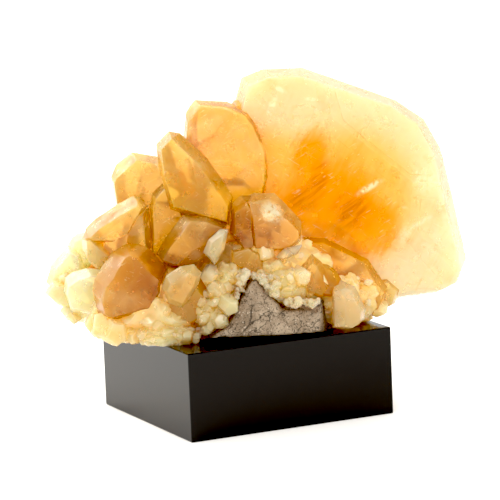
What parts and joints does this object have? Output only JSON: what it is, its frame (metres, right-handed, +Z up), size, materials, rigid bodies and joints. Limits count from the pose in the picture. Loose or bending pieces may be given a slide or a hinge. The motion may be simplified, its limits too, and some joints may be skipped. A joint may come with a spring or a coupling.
{
  "type": "calcite specimen on a display block",
  "caption": "Cluster of broad flat-faced honey calcite crystals with a great pale blade behind, on grey matrix rock, resting on a gloss black square display block.",
  "frame": {"origin": "middle of the display block's underside", "axes": "+Z up; X along the block's 63 mm side and Y along its 60 mm side; the specimen's show side faces -Y, turned 25.4 degrees towards -X"},
  "size_m": [0.1154, 0.0686, 0.0966],
  "materials": {
    "honey_calcite": "translucent, smooth crystal faces",
    "grey_rock": "rough, granular stone",
    "gloss_black": "polished"
  },
  "bodies": {
    "root": {"calcite_crystals": "honey_calcite", "matrix_rock": "grey_rock", "display_block": "gloss_black"}
  },
  "joints": []
}
